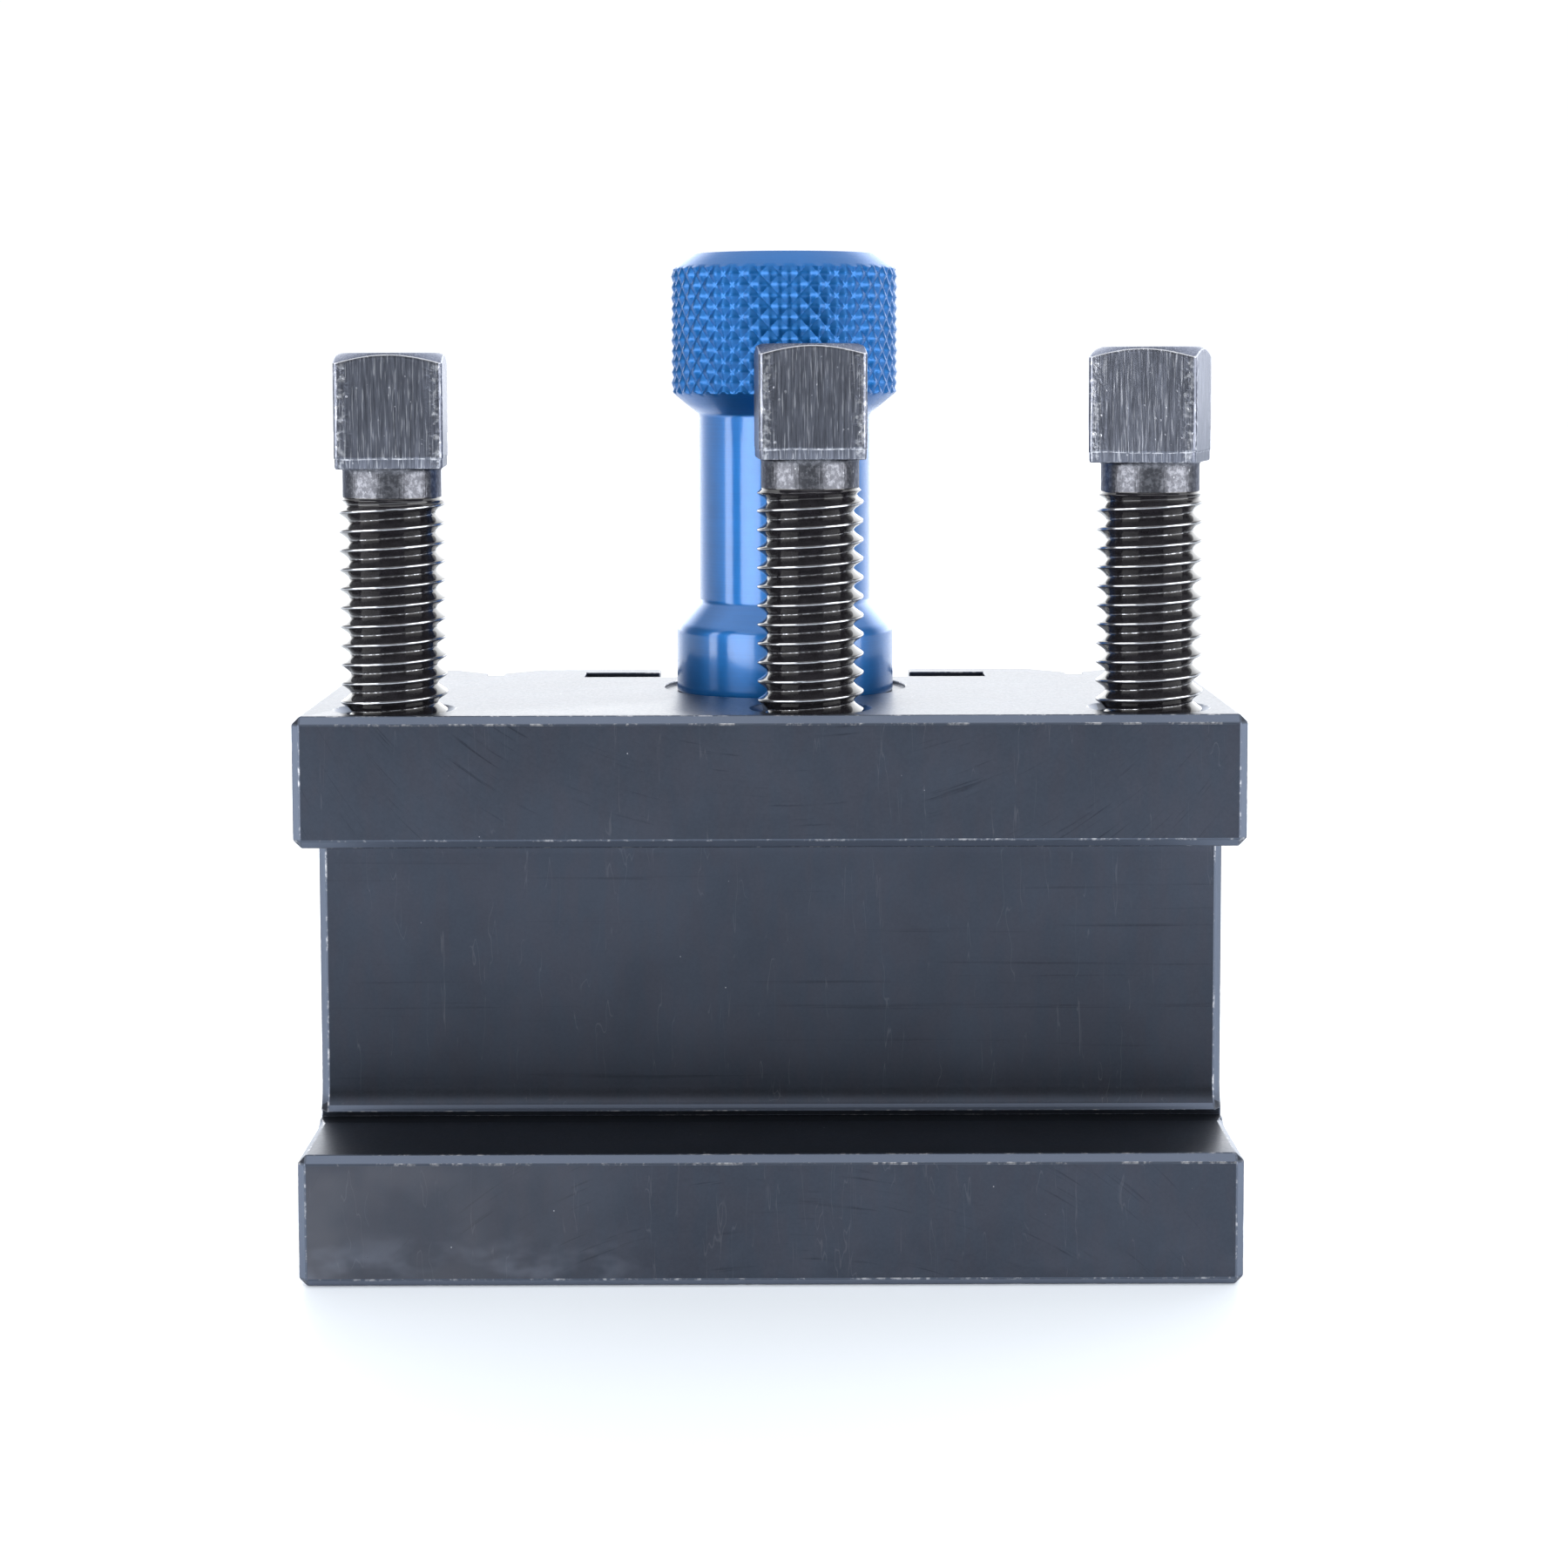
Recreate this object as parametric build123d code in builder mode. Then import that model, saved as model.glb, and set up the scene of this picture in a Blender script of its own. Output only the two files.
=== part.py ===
"""Quick-change turning tool holder with three square-head clamp screws and a spool-shaped height nut.

Frame: X runs along the holder, +Y points from the tool slot to the ways on the rear, and +Z is up.
The origin is the middle of the block's underside. All sizes are in millimetres.
"""

from build123d import *
import os
from math import ceil, cos, radians, sin, tan

os.makedirs("parts", exist_ok=True)

# Block: one piece of steel, C-shaped from the end, with the tool slot open to the front.
block_length = 70.0
block_depth = 35.0
lower_jaw_thickness = 9.9
slot_height = 22.85
upper_jaw_thickness = 9.75
slot_depth = 12.6
slot_corner_radius = 2.4
floor_relief_height = 0.45
floor_relief_depth = 0.1
edge_chamfer = 0.6

# Ways on the rear: a T-slot for the post's shoe between two V-grooves, on one centre line.
way_centre_x = 1.2
tee_mouth_width = 20.8
tee_lip_thickness = 3.1
tee_head_width = 33.0
tee_head_depth = 3.6
tee_mouth_flare = 0.4
vee_spacing = 48.0
vee_width = 8.4
vee_relief_width = 1.4
vee_relief_depth = 0.8

# Clamp screws: 5/16-18, square head, relieved neck under the head, chamfered point.
thread_diameter = 7.94
head_across_flats = 7.94
head_height = 8.5
head_corner_radius = 0.5
head_bevel_circle = 7.1
head_bevel_angle = 30.0
neck_diameter = 7.3
neck_length = 2.2
screw_length = 25.4
point_diameter = 5.6
point_bevel_angle = 45.0
screw_from_front = 5.4
left_screw_from_end = 7.0
middle_screw_from_centre = 3.05
right_screw_from_end = 6.7

# How each screw stands: the height of its point above the slot's ceiling, and the turn of its head.
left_point_lift, left_head_turn = 2.35, 3.5
middle_point_lift, middle_head_turn = 2.95, 3.1
right_point_lift, right_head_turn = 2.65, -16.0

# Height stud and nut: the nut's flange overhangs the T-slot and rests on the post's shoe.
stud_diameter = 6.35
stud_engagement = 10.0
stud_point_bevel = 0.6
nut_from_rear = 13.7
flange_diameter = 17.2
flange_height = 5.2
flange_edge_radius = 1.2
shoulder_height = 2.0
nut_neck_diameter = 13.55
nut_neck_length = 14.75
grip_diameter = 18.0
grip_underside_height = 1.86
grip_height = 9.41
grip_top_height = 1.37
grip_top_diameter = 14.35
knurl_count = 36
knurl_diamond_height = 1.67
knurl_depth = 0.34
knurl_turn = -2.5
stud_below_nut_top = 2.5
spot_face_margin = 1.0
spot_face_depth = 0.3

# Fits, each a gap on the radius, and the countersinks at the mouths of the tapped holes.
thread_clearance = 0.05
hole_countersink = 0.5
stud_hole_overrun = 0.6

# Places that follow from the sizes above.
block_height = lower_jaw_thickness + slot_height + upper_jaw_thickness
slot_ceiling = lower_jaw_thickness + slot_height
front_y = -block_depth / 2
rear_y = block_depth / 2
slot_back_y = front_y + slot_depth
screw_y = front_y + screw_from_front
nut_y = rear_y - nut_from_rear
nut_seat_z = block_height - spot_face_depth
nut_neck_z = nut_seat_z + flange_height + shoulder_height
grip_bottom_z = nut_neck_z + nut_neck_length
grip_bevel_z = grip_bottom_z + grip_underside_height + grip_height
nut_top_z = grip_bevel_z + grip_top_height
stud_bottom_z = block_height - stud_engagement
stud_top_z = nut_top_z - stud_below_nut_top
thread_hole_radius = thread_diameter / 2 + thread_clearance
stud_hole_radius = stud_diameter / 2 + thread_clearance

screws = {
    "clamp_screw_left": (-block_length / 2 + left_screw_from_end, left_point_lift, left_head_turn),
    "clamp_screw_middle": (middle_screw_from_centre, middle_point_lift, middle_head_turn),
    "clamp_screw_right": (block_length / 2 - right_screw_from_end, right_point_lift, right_head_turn),
}


# Holder block. The side profile has the slot with rounded rear corners, and a low relief under the
# bottom one, so that a square shank seats flat against the floor.
with BuildPart() as holder_body:
    with BuildSketch(Plane.YZ) as side_profile:
        Rectangle(block_depth, block_height, align=(Align.CENTER, Align.MIN))
        with Locations((front_y, lower_jaw_thickness)):
            Rectangle(slot_depth, slot_height, align=(Align.MIN, Align.MIN), mode=Mode.SUBTRACT)
        slot_corners = side_profile.vertices().group_by(lambda corner: abs(corner.X - slot_back_y))[0]
        fillet(slot_corners, slot_corner_radius)
    extrude(amount=block_length / 2, both=True)

    # Broken edges: the outlines of both end faces, and the long edges of the front and the rear.
    end_outlines = holder_body.faces().filter_by(Axis.X).edges()
    front_and_rear = holder_body.faces().filter_by(Axis.Y)
    front_faces = front_and_rear.group_by(Axis.Y)[0]
    rear_faces = front_and_rear.group_by(Axis.Y)[-1]
    long_edges = (front_faces.edges() + rear_faces.edges()).filter_by(Axis.X)
    chamfer(end_outlines + long_edges, edge_chamfer)

    # Relief along the foot of the slot's back wall, cut a little below the seat.
    with BuildSketch(Plane.YZ) as floor_relief:
        with Locations((slot_back_y, lower_jaw_thickness - floor_relief_depth)):
            Rectangle(
                slot_corner_radius,
                floor_relief_depth + floor_relief_height,
                align=(Align.MAX, Align.MIN),
            )
    extrude(amount=block_length / 2, both=True, mode=Mode.SUBTRACT)

    # T-slot, through from the underside to the top, with the edges of its mouth broken.
    with BuildSketch() as tee_slot:
        with BuildLine():
            mouth = tee_mouth_width / 2
            head = tee_head_width / 2
            lip_y = rear_y - tee_lip_thickness
            head_y = lip_y - tee_head_depth
            tee_half = Polyline(
                (way_centre_x, rear_y),
                (way_centre_x + mouth + tee_mouth_flare, rear_y),
                (way_centre_x + mouth, rear_y - tee_mouth_flare),
                (way_centre_x + mouth, lip_y),
                (way_centre_x + head, lip_y),
                (way_centre_x + head, head_y),
                (way_centre_x, head_y),
            )
            mirror(tee_half, about=Plane.YZ.offset(way_centre_x))
        make_face()
    extrude(amount=block_height, mode=Mode.SUBTRACT)

    # V-grooves at 90 degrees, each with a relief along its root.
    with BuildSketch() as vee_grooves:
        with Locations(
            (way_centre_x - vee_spacing / 2, rear_y),
            (way_centre_x + vee_spacing / 2, rear_y),
        ):
            Polygon(
                (-vee_width / 2, 0),
                (0, -vee_width / 2),
                (vee_width / 2, 0),
                align=None,
            )
            Rectangle(
                vee_relief_width,
                vee_width / 2 + vee_relief_depth,
                align=(Align.CENTER, Align.MAX),
            )
    extrude(amount=block_height, mode=Mode.SUBTRACT)

    # Spot face for the height nut, and the blind tapped hole for its stud.
    with BuildSketch(Plane.XY.offset(block_height)) as spot_face:
        with Locations((way_centre_x, nut_y)):
            Circle(flange_diameter / 2 + spot_face_margin)
    extrude(amount=-spot_face_depth, mode=Mode.SUBTRACT)
    with Locations((way_centre_x, nut_y, nut_seat_z)):
        CounterSinkHole(
            stud_hole_radius,
            stud_hole_radius + hole_countersink,
            depth=nut_seat_z - stud_bottom_z + stud_hole_overrun,
            counter_sink_angle=90,
        )

    # Tapped holes for the clamp screws, through the upper jaw only.
    with Locations(*[(x, screw_y, block_height) for x, lift, turn in screws.values()]):
        CounterSinkHole(
            thread_hole_radius,
            thread_hole_radius + hole_countersink,
            depth=upper_jaw_thickness,
            counter_sink_angle=90,
        )

holder_body.part.label = "holder_body"
export_step(holder_body.part, "parts/holder_body.step")


# Clamp screws. The threads are fine, so the shank is plain at the thread's outer diameter.
for name, (screw_x, point_lift, head_turn) in screws.items():
    point_z = slot_ceiling + point_lift
    head_z = point_z + screw_length
    head_top_z = head_z + head_height
    screw_axis = Axis((screw_x, screw_y, 0), (0, 0, 1))
    across = (cos(radians(head_turn)), sin(radians(head_turn)), 0)
    square_plane = Plane(origin=(screw_x, screw_y, head_z), x_dir=across, z_dir=(0, 0, 1))
    side_plane = Plane(origin=(screw_x, screw_y, 0), x_dir=(1, 0, 0), z_dir=(0, -1, 0))

    with BuildPart() as clamp_screw:
        with BuildSketch(square_plane) as head_square:
            RectangleRounded(head_across_flats, head_across_flats, head_corner_radius)
        extrude(amount=head_height)

        # The turned bevel on the head's top, which leaves an arch on each flat.
        with BuildSketch(side_plane) as head_bevel:
            bevel_radius = head_bevel_circle / 2
            bevel_drop = (head_across_flats - bevel_radius) * tan(radians(head_bevel_angle))
            Polygon(
                (bevel_radius, head_top_z),
                (head_across_flats, head_top_z),
                (head_across_flats, head_top_z - bevel_drop),
                align=None,
            )
        revolve(axis=screw_axis, mode=Mode.SUBTRACT)

        with BuildSketch(side_plane) as shank_profile:
            thread_radius = thread_diameter / 2
            point_radius = point_diameter / 2
            point_bevel = (thread_radius - point_radius) * tan(radians(point_bevel_angle))
            neck_radius = neck_diameter / 2
            thread_top_z = head_z - neck_length
            run_out = thread_radius - neck_radius
            Polygon(
                (0, point_z),
                (point_radius, point_z),
                (thread_radius, point_z + point_bevel),
                (thread_radius, thread_top_z - run_out),
                (neck_radius, thread_top_z),
                (neck_radius, head_z),
                (0, head_z),
                align=None,
            )
        revolve(axis=screw_axis)

    clamp_screw.part.label = name
    export_step(clamp_screw.part, f"parts/{name}.step")


# Height stud, fixed in the block. It carries the nut and ends below the nut's top.
nut_axis = Axis((way_centre_x, nut_y, 0), (0, 0, 1))
nut_side_plane = Plane(origin=(way_centre_x, nut_y, 0), x_dir=(1, 0, 0), z_dir=(0, -1, 0))

with BuildPart() as height_stud:
    with BuildSketch(nut_side_plane) as stud_profile:
        stud_radius = stud_diameter / 2
        Polygon(
            (0, stud_bottom_z),
            (stud_radius - stud_point_bevel, stud_bottom_z),
            (stud_radius, stud_bottom_z + stud_point_bevel),
            (stud_radius, stud_top_z - stud_point_bevel),
            (stud_radius - stud_point_bevel, stud_top_z),
            (0, stud_top_z),
            align=None,
        )
    revolve(axis=nut_axis)

height_stud.part.label = "height_stud"
export_step(height_stud.part, "parts/height_stud.step")


# Diamond knurl on the grip: pyramids between two crossing families of grooves, in rows half a
# diamond apart, counted up from the grip's underside. Each row is half a pyramid round from the last.
def on_knurl(radius, half_pyramids, row):
    """Point at a radius, so many half pyramids round from the knurl's start, on a row."""
    angle = radians(knurl_turn - 90 + half_pyramids * 180 / knurl_count)
    return Vector(
        way_centre_x + radius * cos(angle),
        nut_y + radius * sin(angle),
        grip_bottom_z + row * knurl_row_height,
    )


def flat_facet(*corners):
    """Flat face with these corners."""
    return Face(Wire.make_polygon(corners))


tip_radius = grip_diameter / 2
root_radius = tip_radius - knurl_depth
knurl_row_height = knurl_diamond_height / 2
knurl_rows = ceil((nut_top_z - grip_bottom_z) / knurl_row_height)
knurl_facets = []
for row in range(knurl_rows + 1):
    row_outline = []
    for pyramid in range(knurl_count):
        place = 2 * pyramid + row % 2
        tip = on_knurl(tip_radius, place, row)
        left = on_knurl(root_radius, place - 1, row)
        right = on_knurl(root_radius, place + 1, row)
        row_outline += [left, tip]
        if row > 0:
            below = on_knurl(root_radius, place, row - 1)
            knurl_facets += [flat_facet(tip, left, below), flat_facet(tip, below, right)]
        if row < knurl_rows:
            above = on_knurl(root_radius, place, row + 1)
            knurl_facets += [flat_facet(tip, right, above), flat_facet(tip, above, left)]
    if row in (0, knurl_rows):
        knurl_facets.append(flat_facet(*row_outline))


# Height nut: a flange with a rounded shoulder, a long neck and a bevelled grip, turned in one piece.
with BuildPart() as height_nut:
    with BuildSketch(nut_side_plane) as nut_profile:
        bore = stud_hole_radius
        shoulder_z = nut_seat_z + flange_height
        Polygon(
            (bore + hole_countersink, nut_seat_z),
            (flange_diameter / 2, nut_seat_z),
            (flange_diameter / 2, shoulder_z),
            (nut_neck_diameter / 2, nut_neck_z),
            (nut_neck_diameter / 2, grip_bottom_z),
            (grip_diameter / 2, grip_bottom_z + grip_underside_height),
            (grip_diameter / 2, grip_bevel_z),
            (grip_top_diameter / 2, nut_top_z),
            (bore + hole_countersink, nut_top_z),
            (bore, nut_top_z - hole_countersink),
            (bore, nut_seat_z + hole_countersink),
            align=None,
        )
        rim = nut_profile.vertices().sort_by(lambda corner: abs(corner.Y - shoulder_z))[0]
        fillet(rim, flange_edge_radius)
    revolve(axis=nut_axis)

    # Only what lies outside the knurl's pyramids is cut away.
    with BuildPart(mode=Mode.SUBTRACT):
        with Locations((way_centre_x, nut_y, grip_bottom_z)):
            Cylinder(
                tip_radius + knurl_depth,
                knurl_rows * knurl_row_height,
                align=(Align.CENTER, Align.CENTER, Align.MIN),
            )
        add(Solid(Shell(knurl_facets)), mode=Mode.SUBTRACT)

height_nut.part.label = "height_nut"
export_step(height_nut.part, "parts/height_nut.step")
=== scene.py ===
"""Dresses a quick-change turning tool holder for display.

The block gets rounded, lightly worn edges. The clamp screws and the stud get cut threads, the screws their
square heads, and the height nut its diamond knurl. Everything is in metres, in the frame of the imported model.
Lengths inside the shape functions are in millimetres, because that is how such parts are drawn.
"""

from math import atan2, cos, pi, radians, sin, sqrt, tan

import bmesh
import bpy
import numpy as np
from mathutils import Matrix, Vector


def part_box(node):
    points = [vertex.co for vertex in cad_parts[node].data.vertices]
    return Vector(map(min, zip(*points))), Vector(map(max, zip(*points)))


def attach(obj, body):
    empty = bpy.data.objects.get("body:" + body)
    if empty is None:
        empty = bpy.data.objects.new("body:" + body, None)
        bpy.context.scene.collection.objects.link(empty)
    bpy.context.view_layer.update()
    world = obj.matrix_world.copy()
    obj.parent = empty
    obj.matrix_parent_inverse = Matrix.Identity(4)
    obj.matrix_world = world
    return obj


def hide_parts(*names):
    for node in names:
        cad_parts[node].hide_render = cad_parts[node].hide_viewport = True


bl_info = {
    "name": "Turning Tool Holder",
    "version": (1, 0, 0),
    "blender": (4, 5, 0),
    "location": "3D View > Sidebar > Tool Holder",
    "description": "Threads, knurl, edges, finishes and stage for a quick-change turning tool holder",
    "category": "Object",
}

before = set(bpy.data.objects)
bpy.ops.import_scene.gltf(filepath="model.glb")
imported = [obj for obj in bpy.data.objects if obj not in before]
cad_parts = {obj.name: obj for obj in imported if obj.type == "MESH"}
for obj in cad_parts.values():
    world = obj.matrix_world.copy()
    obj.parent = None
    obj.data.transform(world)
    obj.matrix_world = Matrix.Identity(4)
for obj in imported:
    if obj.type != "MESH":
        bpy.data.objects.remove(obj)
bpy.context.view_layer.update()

MM = 0.001
FRONT = -pi / 2


# ---- Sizes and colours


def number(name, description, default, **settings):
    """A number property."""
    return bpy.props.FloatProperty(name=name, description=description, default=default, **settings)


def length(name, description, default_mm):
    """A length property in metres, given in millimetres, from a tenth to ten times its default."""
    limits = {"min": default_mm * MM / 10, "max": default_mm * MM * 10}
    return number(name, description, default_mm * MM, unit="LENGTH", precision=5, **limits)


def colour(name, description, default):
    """A linear colour property without alpha."""
    settings = {"size": 3, "min": 0.0, "max": 1.0, "subtype": "COLOR"}
    return bpy.props.FloatVectorProperty(name=name, description=description, default=default, **settings)


def factor(name, description, default, high=1.0):
    """A plain number from zero to high."""
    return number(name, description, default, min=0.0, max=high)


class ToolHolderScrewSizes(bpy.types.PropertyGroup):
    """Sizes of the clamp screws that the CAD model leaves plain."""

    thread_diameter: length("Thread diameter", "Outer diameter of the thread", 7.94)
    thread_pitch: length("Thread pitch", "Advance of the thread for one turn", 1.411)
    thread_depth: length("Thread depth", "Depth of the thread from crest to root", 0.72)
    crest_width: length("Crest width", "Width of the flat on the thread's crest", 0.05)
    head_height: length("Head height", "Height of the square head", 8.5)
    head_across: length("Head across flats", "Width of the square head", 7.94)
    head_corner: length("Head corner radius", "Radius of the head's upright corners", 0.35)
    head_circle: length("Head top circle", "Diameter of the flat inside the turned bevel", 7.16)
    head_bevel: factor("Head bevel", "Fall of the bevel turned on the head's top, in degrees", 22.0, 60.0)
    foot_band: length("Foot band", "Height of the band along the head's foot", 0.75)
    neck_diameter: length("Neck diameter", "Diameter of the relieved neck under the head", 7.3)
    neck_length: length("Neck length", "Length of the relieved neck under the head", 2.2)
    point_diameter: length("Point diameter", "Diameter of the flat on the screw's point", 5.6)


class ToolHolderNutSizes(bpy.types.PropertyGroup):
    """Sizes of the height nut, from its seat up, and of its stud's thread."""

    bore_diameter: length("Bore diameter", "Diameter of the nut's through bore", 6.45)
    flange_diameter: length("Flange diameter", "Diameter of the flange", 17.2)
    flange_height: length("Flange height", "Height of the flange's upright side", 5.2)
    shoulder_height: length("Shoulder height", "Height of the slope from flange to neck", 2.0)
    neck_diameter: length("Neck diameter", "Diameter of the neck", 13.55)
    neck_length: length("Neck length", "Length of the neck", 14.75)
    grip_diameter: length("Grip diameter", "Diameter over the knurl's tips", 18.0)
    grip_foot: length("Grip foot", "Height of the bevel under the grip", 1.86)
    grip_height: length("Grip height", "Height of the grip between its bevels", 9.41)
    top_circle: length("Top circle", "Diameter of the flat on the nut's top", 14.35)

    knurl_count: bpy.props.IntProperty(
        name="Knurl count", description="Diamonds round the grip", default=36, min=8, max=120
    )
    knurl_height: length("Knurl diamond height", "Height of one diamond of the knurl", 1.67)
    knurl_depth: length("Knurl depth", "Depth of the knurl's grooves", 0.34)
    knurl_turn: number("Knurl turn", "Turn of the first column of tips from the front, in degrees", -2.5)
    stud_pitch: length("Stud pitch", "Advance of the stud's thread for one turn", 1.27)
    stud_depth: length("Stud thread depth", "Depth of the stud's thread", 0.7)


class ToolHolderFinishes(bpy.types.PropertyGroup):
    """Colours and wear of the finishes."""

    oxide: colour("Block oxide", "Black oxide on the block", (0.0555, 0.066, 0.089))
    head_steel: colour("Head steel", "Darkened steel of the screw heads", (0.145, 0.155, 0.19))
    thread_oxide: colour("Thread oxide", "Oiled black of the threads", (0.012, 0.011, 0.013))
    bare_steel: colour("Bare steel", "Steel where the finish is worn off", (0.62, 0.63, 0.67))
    anodise: colour("Anodised blue", "Dyed aluminium of the height nut", (0.005, 0.135, 0.43))
    edge_wear: factor("Edge wear", "How far the edges are rubbed bright", 0.5)


class ToolHolderStage(bpy.types.PropertyGroup):
    """Floor, light and camera."""

    floor_white: colour("Floor", "Colour of the floor", (0.82, 0.86, 0.91))
    backdrop: factor("Backdrop brightness", "Brightness of the space behind the object", 3.3, 9.0)
    overhead: factor("Overhead brightness", "Brightness of the space above the object", 1.35, 9.0)
    camera_side: factor("Camera side brightness", "Brightness of the space around the camera", 0.13, 9.0)
    softbox: factor("Softbox brightness", "Brightness of the upright softboxes", 4.2, 99.0)
    lens: number("Lens", "Focal length on a 36 mm sensor", 69.64, min=10, max=300, unit="CAMERA")


# ---- Meshes


def band(first, rows, columns, rising=None):
    """Triangles of a grid of rows by columns that closes round its columns. Rows run up or along a profile.

    A cell is cut from its lower left corner to its upper right one, or the other way where rising is False.
    """
    row, column = np.meshgrid(np.arange(rows - 1), np.arange(columns), indexing="ij")
    after = (column + 1) % columns
    left = first + row * columns + column
    right = first + row * columns + after
    corners = np.stack([left, right, right + columns, left + columns], -1)
    rises = np.ones(left.shape + (1,), bool) if rising is None else rising[..., None]
    one = np.where(rises, corners[..., [0, 1, 2]], corners[..., [0, 1, 3]])
    two = np.where(rises, corners[..., [0, 2, 3]], corners[..., [1, 2, 3]])
    return np.concatenate([one.reshape(-1, 3), two.reshape(-1, 3)])


def cap(pole, first, columns, above):
    """A fan from one point to a ring: above the ring, or below it."""
    here = first + np.arange(columns)
    after = first + (np.arange(columns) + 1) % columns
    middle = np.full(columns, pole)
    order = (here, after, middle) if above else (after, here, middle)
    return np.stack(order, -1)


def doubling(first_lower, first_upper, columns):
    """Joins a ring to the next one, which has twice as many points."""
    i = np.arange(columns)
    low, low_next = first_lower + i, first_lower + (i + 1) % columns
    up, up_mid = first_upper + 2 * i, first_upper + 2 * i + 1
    up_next = first_upper + (2 * i + 2) % (2 * columns)
    return np.concatenate(
        [
            np.stack([low, up_mid, up], -1),
            np.stack([low, low_next, up_mid], -1),
            np.stack([low_next, up_next, up_mid], -1),
        ]
    )


def new_piece(name, points_mm, triangles, marks=None, slots=None, sharp_deg=38.0):
    """An object at the origin from points in millimetres and triangles, shaded smooth up to an angle.

    marks holds named values from 0 to 1, one for each point, that the finishes read. slots numbers each
    triangle's material.
    """
    mesh = bpy.data.meshes.new(name)
    mesh.vertices.add(len(points_mm))
    mesh.vertices.foreach_set("co", (points_mm * MM).astype(np.float32).ravel())
    mesh.loops.add(triangles.size)
    mesh.loops.foreach_set("vertex_index", triangles.astype(np.int32).ravel())
    mesh.polygons.add(len(triangles))
    mesh.polygons.foreach_set("loop_start", np.arange(0, triangles.size, 3, dtype=np.int32))
    if slots is not None:
        mesh.polygons.foreach_set("material_index", slots.astype(np.int32))
    mesh.update(calc_edges=True)
    mesh.validate()
    for mark, values in (marks or {}).items():
        layer = mesh.attributes.new(mark, "FLOAT", "POINT")
        layer.data.foreach_set("value", values.astype(np.float32))
    mesh.shade_smooth()
    mesh.set_sharp_from_angle(angle=radians(sharp_deg))
    piece = bpy.data.objects.new(name, mesh)
    bpy.context.scene.collection.objects.link(piece)
    return piece


def rings(radius, height, angle, axis):
    """Points at the given radii and heights (rows by columns) round an upright axis."""
    radius, height, angle = np.broadcast_arrays(radius, height, angle)
    return np.stack([axis[0] + radius * np.cos(angle), axis[1] + radius * np.sin(angle), height], -1)


def turned(profile, angle, axis):
    """Plain rings from a profile of (radius, height) pairs."""
    profile = np.array(profile)
    return rings(profile[:, :1], profile[:, 1:], angle[None, :], axis)


def smoothstep(value, low, high):
    """0 below low, 1 above high, and 3t^2 - 2t^3 between them."""
    t = np.clip((value - low) / (high - low), 0, 1)
    return t * t * (3 - 2 * t)


def thread_groove(phase, pitch, depth, crest):
    """Depth of a 60 degree V-thread below its crest.

    Phase counts turns from a crest. With x the distance along the axis from the nearest crest, the root is
    rounded by y = (pitch - sqrt((pitch - 2x)^2 + root^2)) / 2, with root such that the groove ends at its
    depth. The flank's depth is t = (y - crest / 2) / tan 30, and (t + sqrt(t^2 + rounding^2)) / 2 rounds the
    crest.
    """
    slope = tan(radians(30))
    root = pitch - 2 * depth * slope - crest
    rounding = 0.045

    def down(from_crest):
        along = (pitch - np.sqrt((pitch - 2 * from_crest) ** 2 + root**2)) / 2
        flank = (along - crest / 2) / slope
        return (flank + np.sqrt(flank**2 + rounding**2)) / 2

    return down(np.abs((phase + 0.5) % 1.0 - 0.5) * pitch) - down(0.0)


def nicks(turns, seed, count, total):
    """Small dents scattered along the crest: a sum of narrow bells at random places, each 0 to 1 deep."""
    random = np.random.default_rng(seed)
    places = random.uniform(0, total, count)
    sizes = random.uniform(0.2, 1.0, count)
    widths = random.uniform(0.006, 0.022, count)
    bells = sizes * np.exp(-(((turns[..., None] - places) / widths) ** 2))
    return np.clip(bells.sum(-1), 0, 1)


def square_outline(half, corner, turn, per_side=24, per_corner=8):
    """Rounded square: points round it, counter-clockwise from a corner, and their outward directions.

    Each side has half a corner arc, a straight run and half of the next arc.
    """
    arc = np.linspace(-45, 0, per_corner // 2 + 1)[:-1]
    straight = np.linspace(-1, 1, per_side - per_corner + 1)
    flat = half - corner
    first = np.stack([flat + corner * np.cos(np.radians(arc)), -flat + corner * np.sin(np.radians(arc))], -1)
    run = np.stack([np.full(len(straight), half), straight * flat], -1)
    last_arc = -arc[::-1][:-1]
    last = flat + corner * np.stack([np.cos(np.radians(last_arc)), np.sin(np.radians(last_arc))], -1)
    side = np.concatenate([first, run, last])
    facing = np.radians(np.concatenate([arc, np.zeros(len(straight)), last_arc]))
    points, out = [], []
    for quarter in range(4):
        a = turn + quarter * pi / 2
        spin = np.array([[cos(a), sin(a)], [-sin(a), cos(a)]])
        points.append(side @ spin)
        out.append(np.stack([np.cos(facing + a), np.sin(facing + a)], -1))
    return np.concatenate(points), np.concatenate(out)


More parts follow.
